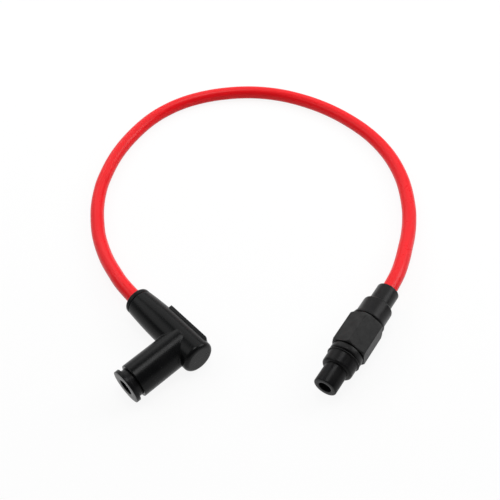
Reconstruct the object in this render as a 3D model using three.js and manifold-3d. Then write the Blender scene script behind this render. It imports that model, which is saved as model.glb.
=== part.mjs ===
// Ignition cable: a red high-tension lead with a right-angle spark plug cap on one end and a
// screw-together hexagonal joiner on the other, whose open nose takes the ignition coil's own lead.
// Millimetres, +Z up. Both end pieces rest on z = 0, and the joiner's axis runs along Y.

import * as THREE from 'three';
import { mergeVertices } from 'three/addons/utils/BufferGeometryUtils.js';
import Module from 'manifold-3d';

const wasm = await Module();
wasm.setup();

// Gaps between pieces that touch on the real thing, and how far a cut runs past the face it opens
const fitGap = 0.3;
const cutMargin = 1;

// Where the two end pieces lie
const capX = -22.22;
const capY = -20.96;
const capHeading = -14.1; // degrees that the cable arm is turned from +X
const joinerX = 51.98;
const joinerNoseY = -7.26;

// Lead
const leadDiameter = 8;
const coreDiameter = 3;
const leadSides = 12;
const coreSides = 8;
const leadStep = 8; // along the route
const leadStraight = 4; // held straight inside each mouth

// Lead screws, which bite into the core at both ends
const screwDiameter = 3;
const screwRootDiameter = 2.2;
const screwPitch = 1.5;
const screwTipLength = 2.2;

// Plug cap, cable arm
const cableArmReach = 35; // from the plug arm's axis back to the cable entry
const cableArmTail = 13.6; // from the plug arm's axis on to the closed end
const cableArmEntryDiameter = 15.2;
const cableArmDiameter = 17.4;
const cableArmFlare = 22; // over which the arm grows to its full diameter
const cableArmFlareBend = 0.6; // of that length, where the two straight runs would meet
const cableArmEdge = 2.2; // radius round the closed end

// Plug cap, plug arm
const plugArmDiameter = 18.4;
const plugArmReach = 31; // from the cable arm's axis to the mouth
const plugChamberDiameter = 13.6;

// Plug cap, raised bare pad on the back
const padLength = 29.6;
const padHeight = 8;
const padProud = 0.8;
const padStart = -19.6; // its square end, from the plug arm's axis
const padRound = 2.4;

// Cable seal in the cable arm
const cableSealLipDiameter = 15;
const cableSealLipLength = 2.7;
const cableSealLipEdge = 0.8;
const cableSealSpigotDiameter = 10.8;
const cableSealSpigotLength = 8;

// Plug seal in the plug arm
const plugSealFlangeLength = 2.1;
const plugSealNeckDiameter = 15.3;
const plugSealNeckLength = 2.5;
const plugSealSpigotLength = 6;
const plugSealHoleDiameter = 8.1;
const plugSealInsideDiameter = 10.8; // round the plug's insulator
const plugSealEdge = 0.3;

// Contact insert at the corner
const insertDiameter = 7;
const insertLength = 13;
const insertEnd = 4; // past the plug arm's axis
const insertSeat = 2; // from the cable arm's axis to the flat that the spring bears on

// Lead screw of the cap
const wireScrewTail = 5.2;
const wireScrewTailDiameter = 2.6;
const wireScrewReach = 12;

// Contact spring
const springLength = 4;
const springDiameter = 5.6;
const springWire = 0.6;
const springTurns = 4;
const springSides = 6;

// Resistor and its end cups
const resistorDiameter = 5.2;
const resistorLength = 6.8;
const resistorCupDiameter = 6.6;
const resistorCupLength = 2.5;
const resistorCupFloor = 0.5;

// Terminal socket and the wire clip in it
const socketDiameter = 10;
const socketThreadLength = 3.7;
const socketNoseDiameter = 8.6;
const socketNoseLength = 5.6;
const socketHoleDiameter = 6.6;
const socketHoleDepth = 8;
const clipWire = 0.7;
const clipGrooveDepth = 0.6;
const clipGrooveFromNose = 2.8;
const clipReach = 4;
const clipSides = 6;

// Joiner, rubber boots
const bootSleeveDiameter = 12;
const bootSleeveLength = 10.7;
const bootCapDiameter = 16;
const bootShoulderRound = 1.5;
const bootLipRound = 0.7;
const bootFloor = 2; // between the sleeve's shoulder and the hollow of the boot
const bootFlangeDiameter = 17.4; // round the open end of the cap
const coilLeadHoleDiameter = 6.6;
const coilBootCapLength = 6.8;
const coilBootConeLength = 0.1; // from the cap out to the flange
const coilBootFlangeLength = 0.7;
const leadBootCapLength = 8.9;
const leadBootConeLength = 1.8;
const leadBootFlangeLength = 1.5;

// Joiner, collar half
const collarDiameter = 17;
const collarLength = 3.6;
const collarEdge = 0.5;
const nippleDiameter = 12.4;
const shankDiameter = 11.6;
const shankLength = 10;

// Joiner, hexagonal half
const hexAcrossFlats = 17.5;
const hexLength = 19.5;
const hexEdge = 0.9; // off the corners at both ends

// Joiner, inside
const ringWire = 1.3;
const carrierThickness = 2.4;
const pinShoulderDiameter = 4.8;
const pinShoulderLength = 1.2;
const pinReach = 9;

// Roundness
const outerSides = 36;
const innerSides = 24;
const screwSides = 12;
const wireSteps = 12; // in each turn of a spring

// Radii and places that follow from the sizes above
const leadBore = leadDiameter / 2 + fitGap;
const coreBore = coreDiameter / 2 + fitGap;
const capHeight = Math.max(plugArmDiameter, cableArmDiameter) / 2;
const hexCorner = hexAcrossFlats / 2 / Math.cos(Math.PI / 6);
const joinerHeight = Math.max(hexCorner, collarDiameter / 2);

// Along the cable arm, from the plug arm's axis
const insertStart = insertEnd - insertLength;
const capLeadEnd = insertStart - fitGap;
const capMouth = -cableArmReach - fitGap - cableSealLipLength;

// Along the plug arm, outwards from the cable arm's axis
const springFrom = insertSeat + fitGap;
const resistorFrom = springFrom + springLength + fitGap;
const cupToRod = resistorCupFloor + fitGap;
const resistorTo = resistorFrom + cupToRod + resistorLength + cupToRod;
const socketFrom = resistorTo + fitGap;
const socketShoulder = socketFrom + socketThreadLength;
const socketTo = socketShoulder + socketNoseLength;
const plugSealFrom = plugArmReach + fitGap;
const plugFlangeFrom = plugSealFrom + plugSealNeckLength;
const plugSealTo = plugFlangeFrom + plugSealFlangeLength;

// Along the joiner, from its nose
const coilBootSkirt = coilBootCapLength + coilBootConeLength + coilBootFlangeLength;
const leadBootSkirt = leadBootCapLength + leadBootConeLength + leadBootFlangeLength;
const collarFrom = bootSleeveLength + coilBootSkirt + fitGap;
const collarTo = collarFrom + collarLength;
const hexFrom = collarTo + fitGap;
const hexTo = hexFrom + hexLength;
const joinerMouth = hexTo + fitGap + leadBootSkirt + bootSleeveLength;
const shankTo = collarTo + shankLength;
const carrierFrom = shankTo + fitGap;
const carrierTo = carrierFrom + carrierThickness;
const joinerLeadEnd = carrierTo + fitGap;

// The lead's centreline between its two mouths, as it lies
const freeRoute = [
  [-73.9, -6.7, 8.4], [-83.0, -2.3, 7.3], [-92.6, 2.9, 5.9], [-102.0, 9.1, 4.7],
  [-110.9, 16.1, 4.1], [-118.8, 24.1, 4.1], [-126.0, 32.6, 4.1], [-132.3, 42.0, 4.1],
  [-137.6, 52.1, 4.1], [-144.6, 72.9, 4.1], [-147.1, 94.0, 4.1], [-145.5, 113.9, 4.1],
  [-138.9, 131.5, 4.1], [-128.4, 145.7, 4.1], [-115.6, 156.8, 4.1], [-101.2, 165.3, 4.1],
  [-85.2, 170.9, 4.1], [-68.1, 173.4, 4.1], [-50.2, 173.2, 4.1], [-31.7, 170.0, 4.1],
  [-12.9, 163.6, 4.1], [5.0, 153.1, 4.1], [20.9, 138.3, 4.1], [33.3, 120.8, 4.1],
  [38.2, 111.4, 4.1], [42.3, 101.4, 4.9], [45.6, 91.1, 6.4], [48.6, 80.9, 7.9],
  [50.8, 71.0, 9.2],
].map((place) => new THREE.Vector3(...place));

const redSilicone = new THREE.MeshStandardMaterial({ color: 0xe0222a, roughness: 0.42, metalness: 0 });
const tinnedCopper = new THREE.MeshStandardMaterial({ color: 0xb8aa9c, roughness: 0.4, metalness: 1 });
const blackPhenolic = new THREE.MeshStandardMaterial({ color: 0x18181a, roughness: 0.34, metalness: 0 });
const blackRubber = new THREE.MeshStandardMaterial({ color: 0x1b1b1c, roughness: 0.6, metalness: 0 });
const blackNylon = new THREE.MeshStandardMaterial({ color: 0x1d1d1f, roughness: 0.5, metalness: 0 });
const brass = new THREE.MeshStandardMaterial({ color: 0xb08d4a, roughness: 0.35, metalness: 1 });
const springSteel = new THREE.MeshStandardMaterial({ color: 0x9a9a9a, roughness: 0.35, metalness: 1 });
const ceramic = new THREE.MeshStandardMaterial({ color: 0xd8cdb8, roughness: 0.6, metalness: 0 });

/** A point of a profile: its radius, and its place along the axis. */
function at(radius, along) {
  return new THREE.Vector2(radius, along);
}

/** Points of a round edge about a centre, from one angle to another in degrees. */
function roundEdge(radius, along, size, from, to, steps = 4) {
  return Array.from({ length: steps + 1 }, (_, i) => {
    const angle = THREE.MathUtils.degToRad(from + ((to - from) * i) / steps);
    return at(radius + size * Math.cos(angle), along + size * Math.sin(angle));
  });
}

/** A turned piece about Y. Its profile closes on the axis, or on itself where it has a hole. */
function turned(profile, sides = innerSides) {
  const closed = [...profile, profile[0]];
  const twiceArea = closed.slice(1).reduce((sum, b, i) => sum + closed[i].cross(b), 0);
  const points = twiceArea > 0 ? profile : [...profile].reverse();
  const onAxis = points.filter((p) => p.x === 0).length;
  return new THREE.LatheGeometry(onAxis ? openAtAxis(points) : [...points, points[0]], sides);
}

/** The same loop of points, begun and ended on the axis. */
function openAtAxis(points) {
  const count = points.length;
  const start = points.findIndex((p, i) => p.x === 0 && points[(i + count - 1) % count].x === 0);
  return [...points.slice(start), ...points.slice(0, start)];
}

/** A plain round bar about Y. */
function bar(radius, from, to, sides = innerSides) {
  return turned([at(0, from), at(radius, from), at(radius, to), at(0, to)], sides);
}

/** Turns a piece from the Y axis onto the X axis. */
function ontoX(geometry) {
  return geometry.rotateZ(-Math.PI / 2);
}

/** The manifold of a closed geometry. */
function solid(geometry) {
  const bare = geometry.clone();
  bare.deleteAttribute('normal');
  bare.deleteAttribute('uv');
  const merged = mergeVertices(bare, 1e-4);
  const index = merged.index.array;
  const triVerts = [];
  for (let i = 0; i < index.length; i += 3) {
    const [a, b, c] = index.slice(i, i + 3);
    if (a !== b && b !== c && c !== a) triVerts.push(a, b, c);
  }
  const vertProperties = new Float32Array(merged.attributes.position.array);
  return new wasm.Manifold(
    new wasm.Mesh({ numProp: 3, vertProperties, triVerts: new Uint32Array(triVerts) }),
  );
}

/** The geometry of a manifold. */
function shell(manifold) {
  const mesh = manifold.getMesh();
  const geometry = new THREE.BufferGeometry();
  geometry.setAttribute('position', new THREE.BufferAttribute(mesh.vertProperties, 3));
  geometry.setIndex(new THREE.BufferAttribute(mesh.triVerts, 1));
  geometry.computeVertexNormals();
  return geometry;
}

/** One geometry with others joined to it. */
function join(first, ...others) {
  return shell(others.reduce((sum, other) => sum.add(solid(other)), solid(first)));
}

/** One geometry with others cut out of it. */
function cut(first, ...others) {
  return shell(others.reduce((rest, other) => rest.subtract(solid(other)), solid(first)));
}

/** What two geometries share. */
function common(first, second) {
  return shell(solid(first).intersect(solid(second)));
}

/** A named mesh. */
function piece(name, geometry, material) {
  const mesh = new THREE.Mesh(geometry, material);
  mesh.name = name;
  return mesh;
}

/** Profile points of a coarse thread, from its start to its end along the axis. */
function threadProfile(from, to) {
  const turns = Math.max(1, Math.floor(Math.abs(to - from) / screwPitch));
  const pitch = (to - from) / turns;
  return Array.from({ length: turns }, (_, i) => [
    at(screwRootDiameter / 2, from + pitch * i),
    at(screwDiameter / 2, from + pitch * (i + 0.5)),
  ]).flat();
}

/** Points of a regular polygon about the origin. */
function ring(radius, sides) {
  return Array.from({ length: sides }, (_, i) => {
    const angle = (2 * Math.PI * i) / sides;
    return at(radius * Math.cos(angle), radius * Math.sin(angle));
  });
}

/** A round wire of a given diameter along a curve. */
function wireAlong(curve, diameter, sides, steps) {
  const section = new THREE.Shape(ring(diameter / 2, sides));
  return new THREE.ExtrudeGeometry(section, { extrudePath: curve, steps });
}

// The cap's and the joiner's own frames. The cap's X runs along its cable arm to the closed end
// and its plug arm points to -Y. The joiner's Y runs from its nose to where the lead goes in.
const plugCap = new THREE.Group();
plugCap.position.set(capX, capY, capHeight);
plugCap.rotation.z = THREE.MathUtils.degToRad(capHeading);
plugCap.updateMatrixWorld();

const joiner = new THREE.Group();
joiner.position.set(joinerX, joinerNoseY, joinerHeight);
joiner.updateMatrixWorld();

/** The route of the whole lead, from its end in the cap to its end in the joiner. */
function leadRoute() {
  const capMiddle = (capLeadEnd + capMouth) / 2;
  const inCap = [capLeadEnd, capMiddle, capMouth + leadStraight, capMouth].map((x) =>
    plugCap.localToWorld(new THREE.Vector3(x, 0, 0)),
  );
  const joinerMiddle = (joinerLeadEnd + joinerMouth) / 2;
  const inJoiner = [joinerMouth, joinerMouth - leadStraight, joinerMiddle, joinerLeadEnd].map((y) =>
    joiner.localToWorld(new THREE.Vector3(0, y, 0)),
  );
  return new THREE.CatmullRomCurve3([...inCap, ...freeRoute, ...inJoiner]);
}

/** The lead's jacket and, inside it, its core, which stops short of the screws in its ends. */
function leadPieces() {
  const route = leadRoute();
  const steps = Math.round(route.getLength() / leadStep);
  const section = new THREE.Shape(ring(leadDiameter / 2, leadSides));
  section.holes.push(new THREE.Path(ring(coreBore, coreSides)));
  const jacket = new THREE.ExtrudeGeometry(section, { extrudePath: route, steps });
  const capEndCut = ontoX(bar(leadBore, capLeadEnd - wireScrewReach - fitGap, insertStart));
  const joinerEndCut = bar(leadBore, carrierTo, carrierTo + pinReach + fitGap);
  capEndCut.applyMatrix4(plugCap.matrixWorld);
  joinerEndCut.applyMatrix4(joiner.matrixWorld);
  const core = cut(wireAlong(route, coreDiameter, coreSides, steps), capEndCut, joinerEndCut);
  return [piece('lead_jacket', jacket, redSilicone), piece('lead_core', core, tinnedCopper)];
}

/** The cable arm's outside: a slim entry that flares out, and a round closed end. */
function cableArmSolid() {
  const entry = cableArmEntryDiameter / 2;
  const full = cableArmDiameter / 2;
  const flare = new THREE.QuadraticBezierCurve(
    at(entry, -cableArmReach),
    at(full, -cableArmReach + cableArmFlare * cableArmFlareBend),
    at(full, -cableArmReach + cableArmFlare),
  );
  return ontoX(turned([
    at(0, -cableArmReach),
    ...flare.getPoints(5),
    ...roundEdge(full - cableArmEdge, cableArmTail - cableArmEdge, cableArmEdge, 0, 90),
    at(0, cableArmTail),
  ], outerSides));
}

/** The bare raised pad on the back of the cable arm, round at the closed end. */
function padSolid() {
  const back = cableArmDiameter / 2 + padProud;
  const end = padStart + padLength;
  const plan = new THREE.Shape();
  plan.moveTo(padStart, 0);
  plan.lineTo(end, 0);
  plan.lineTo(end, back - padRound);
  plan.absarc(end - padRound, back - padRound, padRound, 0, Math.PI / 2, false);
  plan.lineTo(padStart, back);
  const pad = new THREE.ExtrudeGeometry(plan, { depth: padHeight, bevelEnabled: false, curveSegments: 5 });
  return pad.translate(0, 0, -padHeight / 2);
}

/** The cap's moulded body with the bores of both its arms. */
function capBody() {
  const outside = join(
    cableArmSolid(),
    bar(plugArmDiameter / 2, -plugArmReach, 0, outerSides),
    padSolid(),
  );
  const sealSeat = ontoX(bar(
    cableSealSpigotDiameter / 2 + fitGap,
    -cableArmReach - cutMargin,
    -cableArmReach + cableSealSpigotLength,
  ));
  const leadHole = ontoX(bar(leadBore, -cableArmReach, insertStart));
  const insertHole = ontoX(bar(insertDiameter / 2 + fitGap, insertStart - cutMargin, insertEnd + fitGap));
  const plugHole = turned([
    at(0, 0),
    at(resistorCupDiameter / 2 + fitGap, 0),
    at(resistorCupDiameter / 2 + fitGap, -resistorTo),
    at(socketDiameter / 2 + fitGap, -resistorTo),
    at(socketDiameter / 2 + fitGap, -socketShoulder),
    at(plugChamberDiameter / 2, -socketShoulder),
    at(plugChamberDiameter / 2, -plugArmReach - cutMargin),
    at(0, -plugArmReach - cutMargin),
  ]);
  return piece('cap_body', cut(outside, sealSeat, leadHole, insertHole, plugHole), blackPhenolic);
}

/** The rubber seal round the lead: a lip outside the arm and a spigot in it. */
function cableSeal() {
  const lip = cableSealLipDiameter / 2;
  const edge = cableSealLipEdge;
  const lipBack = -cableArmReach - fitGap;
  const spigotEnd = -cableArmReach + cableSealSpigotLength - fitGap;
  const profile = [
    at(leadBore, spigotEnd),
    at(leadBore, capMouth),
    ...roundEdge(lip - edge, capMouth + edge, edge, -90, 0),
    at(lip, lipBack),
    at(cableSealSpigotDiameter / 2, lipBack),
    at(cableSealSpigotDiameter / 2, spigotEnd),
  ];
  return piece('cable_seal', ontoX(turned(profile, outerSides)), blackRubber);
}

/** The rubber seal at the plug arm's mouth: a flange, a thinner neck and a spigot in the arm. */
function plugSeal() {
  const flange = plugArmDiameter / 2;
  const hole = plugSealHoleDiameter / 2;
  const inside = plugSealInsideDiameter / 2;
  const spigot = plugChamberDiameter / 2 - fitGap;
  const spigotEnd = plugSealSpigotLength - plugSealFrom;
  const edge = plugSealEdge;
  const profile = [
    at(inside, spigotEnd),
    at(inside, -plugSealFrom),
    at(hole, -plugFlangeFrom),
    at(hole, -plugSealTo),
    ...roundEdge(flange - edge, edge - plugSealTo, edge, -90, 0, 2),
    ...roundEdge(flange - edge, -plugFlangeFrom - edge, edge, 0, 90, 2),
    at(plugSealNeckDiameter / 2, -plugFlangeFrom),
    at(plugSealNeckDiameter / 2, -plugSealFrom),
    at(spigot, -plugSealFrom),
    at(spigot, spigotEnd),
  ];
  return piece('plug_seal', turned(profile, outerSides), blackRubber);
}

/** The brass insert at the corner: it takes the lead screw, and the spring bears on its flat. */
function contactInsert() {
  const blank = ontoX(bar(insertDiameter / 2, insertStart, insertEnd));
  const screwHole = ontoX(bar(
    wireScrewTailDiameter / 2 + fitGap,
    insertStart - cutMargin,
    insertStart + wireScrewTail + fitGap,
  ));
  const flat = new THREE.BoxGeometry(2 * insertLength, insertDiameter, insertDiameter);
  flat.translate(0, -insertSeat - insertDiameter / 2, 0);
  return piece('contact_insert', cut(blank, screwHole, flat), brass);
}

/** The pointed screw that the lead is turned onto. */
function wireScrew() {
  const base = insertStart - fitGap;
  const tip = base - wireScrewReach;
  return piece('wire_screw', ontoX(turned([
    at(0, insertStart + wireScrewTail),
    at(wireScrewTailDiameter / 2, insertStart + wireScrewTail),
    at(wireScrewTailDiameter / 2, base),
    ...threadProfile(base, tip + screwTipLength),
    at(screwRootDiameter / 2, tip + screwTipLength),
    at(0, tip),
  ], screwSides)), brass);
}

/** The helix of the contact spring's wire, along -Y. */
class SpringCurve extends THREE.Curve {
  getPoint(t, target = new THREE.Vector3()) {
    const angle = 2 * Math.PI * springTurns * t;
    const radius = (springDiameter - springWire) / 2;
    const along = springFrom + springWire / 2 + t * (springLength - springWire);
    return target.set(radius * Math.sin(angle), -along, radius * Math.cos(angle));
  }
}

/** The compression spring between the insert and the resistor. */
function contactSpring() {
  const steps = springTurns * wireSteps;
  return piece(
    'contact_spring',
    wireAlong(new SpringCurve(), springWire, springSides, steps),
    springSteel,
  );
}

/** The ceramic resistor and the brass cups pressed on its ends. */
function resistorPieces() {
  const outer = resistorCupDiameter / 2;
  const inner = resistorDiameter / 2 + fitGap;
  const cup = (end, towards) => turned([
    at(0, end),
    at(outer, end),
    at(outer, end + towards * resistorCupLength),
    at(inner, end + towards * resistorCupLength),
    at(inner, end + towards * resistorCupFloor),
    at(0, end + towards * resistorCupFloor),
  ]);
  const rodFrom = resistorFrom + cupToRod;
  return [
    piece('resistor_cup_inner', cup(-resistorFrom, -1), brass),
    piece('resistor', bar(resistorDiameter / 2, -rodFrom - resistorLength, -rodFrom), ceramic),
    piece('resistor_cup_outer', cup(-resistorTo, 1), brass),
  ];
}

/** The brass socket for the plug's terminal, with the groove and the slots of its wire clip. */
function terminalSocket() {
  const nose = socketNoseDiameter / 2;
  const grooveFloor = nose - clipGrooveDepth;
  const grooveAt = -socketTo + clipGrooveFromNose;
  const grooveHalf = clipWire / 2 + fitGap;
  const hole = socketHoleDiameter / 2;
  const blank = turned([
    at(0, -socketFrom),
    at(0, -socketTo + socketHoleDepth),
    at(hole, -socketTo + socketHoleDepth),
    at(hole, -socketTo),
    at(nose, -socketTo),
    at(nose, grooveAt - grooveHalf),
    at(grooveFloor, grooveAt - grooveHalf),
    at(grooveFloor, grooveAt + grooveHalf),
    at(nose, grooveAt + grooveHalf),
    at(nose, -socketShoulder),
    at(socketDiameter / 2, -socketShoulder),
    at(socketDiameter / 2, -socketFrom),
  ]);
  const inner = clipLegAt() - clipWire / 2 - fitGap;
  const slotHeight = 2 * Math.sqrt(grooveFloor ** 2 - inner ** 2) + fitGap;
  const slots = [1, -1].map((side) => {
    const slot = new THREE.BoxGeometry(nose, 2 * grooveHalf, slotHeight);
    return slot.translate(side * (inner + nose / 2), grooveAt, 0);
  });
  return piece('terminal_socket', cut(blank, ...slots), brass);
}

/** How far each leg of the clip lies from the socket's axis. */
function clipLegAt() {
  return socketHoleDiameter / 2 - clipWire / 2;
}

/** The hairpin wire clip, whose legs reach through the socket's slots to grip the terminal. */
function wireClip() {
  const leg = clipLegAt();
  const grooveFloor = socketNoseDiameter / 2 - clipGrooveDepth;
  const bow = grooveFloor + fitGap + clipWire / 2;
  const rise = Math.sqrt(bow ** 2 - leg ** 2);
  const along = -socketTo + clipGrooveFromNose;
  const bend = Math.atan2(leg, rise);
  const arch = [-1, -0.5, 0, 0.5, 1].map((share) =>
    new THREE.Vector3(bow * Math.sin(share * bend), along, bow * Math.cos(share * bend)),
  );
  const curve = new THREE.CurvePath();
  curve.add(new THREE.LineCurve3(new THREE.Vector3(-leg, along, -clipReach), arch[0]));
  curve.add(new THREE.CatmullRomCurve3(arch));
  curve.add(new THREE.LineCurve3(arch[4], new THREE.Vector3(leg, along, -clipReach)));
  return piece('wire_clip', wireAlong(curve, clipWire, clipSides, 2 * wireSteps), springSteel);
}

/** A rubber boot's profile, from its lip at 0 to the flange round the open end of its cap. */
function bootProfile(holeRadius, capLength, coneLength, flangeLength) {
  const sleeve = bootSleeveDiameter / 2;
  const cap = bootCapDiameter / 2;
  const flange = bootFlangeDiameter / 2;
  const round = bootShoulderRound;
  const hollow = nippleDiameter / 2 + fitGap;
  const floor = bootSleeveLength + bootFloor;
  const coneFrom = bootSleeveLength + capLength;
  const end = coneFrom + coneLength + flangeLength;
  return [
    at(holeRadius, 0),
    ...roundEdge(sleeve - bootLipRound, bootLipRound, bootLipRound, -90, 0),
    at(sleeve, bootSleeveLength),
    ...roundEdge(cap - round, bootSleeveLength + round, round, -90, 0),
    at(cap, coneFrom),
    at(flange, coneFrom + coneLength),
    at(flange, end),
    at(hollow, end),
    at(hollow, floor),
    at(holeRadius, floor),
  ];
}

/** The boot on the joiner's nose, which grips the coil's lead. */
function coilBoot() {
  const profile = bootProfile(
    coilLeadHoleDiameter / 2,
    coilBootCapLength,
    coilBootConeLength,
    coilBootFlangeLength,
  );
  return piece('coil_boot', turned(profile, outerSides), blackRubber);
}

/** The boot round the red lead, turned end for end. */
function leadBoot() {
  const profile = bootProfile(leadBore, leadBootCapLength, leadBootConeLength, leadBootFlangeLength);
  const turnedRound = profile.map((p) => at(p.x, joinerMouth - p.y));
  return piece('lead_boot', turned(turnedRound, outerSides), blackRubber);
}

/** The collar half of the joiner: a nipple in the coil's boot, a collar and a screwed shank. */
function joinerCollar() {
  const nipple = nippleDiameter / 2;
  const nippleFrom = bootSleeveLength + bootFloor + fitGap;
  const collar = collarDiameter / 2;
  const edge = collarEdge;
  return piece('joiner_collar', turned([
    at(leadBore, shankTo),
    at(leadBore, nippleFrom),
    at(nipple, nippleFrom),
    at(nipple, collarFrom),
    ...roundEdge(collar - edge, collarFrom + edge, edge, -90, 0, 2),
    ...roundEdge(collar - edge, collarTo - edge, edge, 0, 90, 2),
    at(shankDiameter / 2, collarTo),
    at(shankDiameter / 2, shankTo),
  ], outerSides), blackNylon);
}

/** The hexagonal half of the joiner, with its nipple in the lead's boot. */
function joinerHexBody() {
  const nippleTo = joinerMouth - bootSleeveLength - bootFloor - fitGap;
  const prism = new THREE.CylinderGeometry(hexCorner, hexCorner, hexLength, 6);
  prism.translate(0, hexFrom + hexLength / 2, 0);
  const envelope = turned([
    at(0, hexFrom),
    at(hexCorner - hexEdge, hexFrom),
    at(hexCorner, hexFrom + hexEdge),
    at(hexCorner, hexTo - hexEdge),
    at(hexCorner - hexEdge, hexTo),
    at(0, hexTo),
  ], outerSides);
  const body = join(common(prism, envelope), bar(nippleDiameter / 2, hexTo - hexEdge, nippleTo));
  const ringSeat = bar(ringOuter() + fitGap, hexFrom - cutMargin, hexFrom + ringWire + fitGap);
  const shankHole = bar(shankDiameter / 2 + fitGap, hexFrom - cutMargin, joinerLeadEnd);
  const leadHole = bar(leadBore, joinerLeadEnd - cutMargin, nippleTo + cutMargin);
  return piece('joiner_hex_body', cut(body, ringSeat, shankHole, leadHole), blackNylon);
}

/** The outer radius of the joiner's sealing ring. */
function ringOuter() {
  return shankDiameter / 2 + fitGap + ringWire;
}

/** The sealing ring round the root of the collar's shank. */
function joinerRing() {
  const wire = ringWire / 2;
  const profile = roundEdge(ringOuter() - wire, hexFrom + wire, wire, 0, 315, 7);
  return piece('joiner_seal_ring', turned(profile), blackRubber);
}

/** The double-ended screw that joins the two cores, and the moulded disc that holds it. */
function joinerPin() {
  const middle = (carrierFrom + carrierTo) / 2;
  const shoulder = pinShoulderDiameter / 2;
  const half = pinShoulderLength / 2;
  const shank = screwRootDiameter / 2;
  const coilTip = carrierFrom - pinReach;
  const leadTip = carrierTo + pinReach;
  const pin = turned([
    at(0, coilTip),
    at(shank, coilTip + screwTipLength),
    ...threadProfile(coilTip + screwTipLength, carrierFrom),
    at(shank, carrierFrom),
    at(shank, middle - half),
    at(shoulder, middle - half),
    at(shoulder, middle + half),
    at(shank, middle + half),
    at(shank, carrierTo),
    ...threadProfile(carrierTo, leadTip - screwTipLength),
    at(shank, leadTip - screwTipLength),
    at(0, leadTip),
  ], screwSides);
  const hole = shank + fitGap;
  const pocket = shoulder + fitGap;
  const disc = turned([
    at(hole, carrierFrom),
    at(shankDiameter / 2, carrierFrom),
    at(shankDiameter / 2, carrierTo),
    at(hole, carrierTo),
    at(hole, middle + half + fitGap),
    at(pocket, middle + half + fitGap),
    at(pocket, middle - half - fitGap),
    at(hole, middle - half - fitGap),
  ]);
  return [piece('contact_pin', pin, brass), piece('pin_carrier', disc, blackNylon)];
}

plugCap.add(
  capBody(), cableSeal(), plugSeal(), contactInsert(), wireScrew(), contactSpring(),
  ...resistorPieces(), terminalSocket(), wireClip(),
);
joiner.add(
  coilBoot(), leadBoot(), joinerCollar(), joinerHexBody(), joinerRing(), ...joinerPin(),
);

const ignitionCable = new THREE.Group();
ignitionCable.add(...leadPieces(), plugCap, joiner);

export default ignitionCable;
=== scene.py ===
"""Looks of an ignition cable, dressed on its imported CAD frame.

A red high-tension lead lies in a loop between a glossy right-angle plug cap and a dull,
screw-together joiner. Lengths are in metres, +Z is up, and the joiner's axis runs along +Y.
"""

import logging
import math
from collections.abc import Mapping, Sequence
from dataclasses import dataclass, field, replace
from enum import Enum

import bpy
from mathutils import Matrix, Vector

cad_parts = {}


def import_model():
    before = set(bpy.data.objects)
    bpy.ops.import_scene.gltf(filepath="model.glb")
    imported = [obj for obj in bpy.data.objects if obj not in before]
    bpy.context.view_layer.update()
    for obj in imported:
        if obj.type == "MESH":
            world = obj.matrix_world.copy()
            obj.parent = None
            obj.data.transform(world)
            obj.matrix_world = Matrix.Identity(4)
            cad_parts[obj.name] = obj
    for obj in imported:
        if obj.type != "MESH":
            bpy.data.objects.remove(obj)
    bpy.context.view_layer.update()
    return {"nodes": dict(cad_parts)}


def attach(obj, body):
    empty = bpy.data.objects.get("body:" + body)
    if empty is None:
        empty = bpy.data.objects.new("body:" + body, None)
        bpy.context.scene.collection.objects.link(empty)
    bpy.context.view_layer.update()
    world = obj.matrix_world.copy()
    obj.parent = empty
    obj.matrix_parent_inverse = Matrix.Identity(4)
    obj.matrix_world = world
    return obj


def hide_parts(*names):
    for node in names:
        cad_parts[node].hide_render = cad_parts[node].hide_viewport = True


LOG = logging.getLogger("ignition_cable")
Point = tuple[float, float, float]
Colour = tuple[float, float, float]
Corner = tuple[float, float]
Profile = Sequence[Corner]

MM = 0.001
MERGE_WITHIN = MM / 1000
PICK_WITHIN = MM / 10
QUARTER_TURN = math.pi / 2

# Where the two end pieces lie on the ground.
CAP_HEIGHT = 9.2 * MM
CAP_CORNER = (-22.22 * MM, -20.96 * MM, CAP_HEIGHT)
CAP_HEADING = math.radians(-14.1)
CAP_PLACE = Matrix.Translation(CAP_CORNER) @ Matrix.Rotation(CAP_HEADING, 4, "Z")
ACROSS_FLATS = 17.5 * MM
JOINER_HEIGHT = ACROSS_FLATS / 2 / math.cos(math.pi / 6)
JOINER_PLACE = Matrix.Translation((51.98 * MM, -7.26 * MM, JOINER_HEIGHT))

# A turned part is made along +Z and then laid along its own axis.
ALONG_Z = Matrix.Identity(4)
ALONG_CABLE_ARM = Matrix.Rotation(QUARTER_TURN, 4, "Y")
ALONG_PLUG_ARM = Matrix.Rotation(QUARTER_TURN, 4, "X")
ALONG_JOINER = Matrix.Rotation(-QUARTER_TURN, 4, "X")

# What the lead and the end pieces share: the mouths, along each piece's own axis, the lead's
# end in the joiner, and the holes that hold the lead.
CAP_MOUTH = -38.0 * MM
JOINER_MOUTH = 65.2 * MM
JOINER_STOP = 35.2 * MM
LEAD_HOLE = 4.3 * MM


class Combine(Enum):
    """How a second solid changes the first."""

    JOIN = "UNION"
    CUT = "DIFFERENCE"
    SHARE = "INTERSECT"


class Opening(Enum):
    """Which way along the joiner's axis a boot opens."""

    FROM_NOSE = 1
    TO_NOSE = -1


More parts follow.
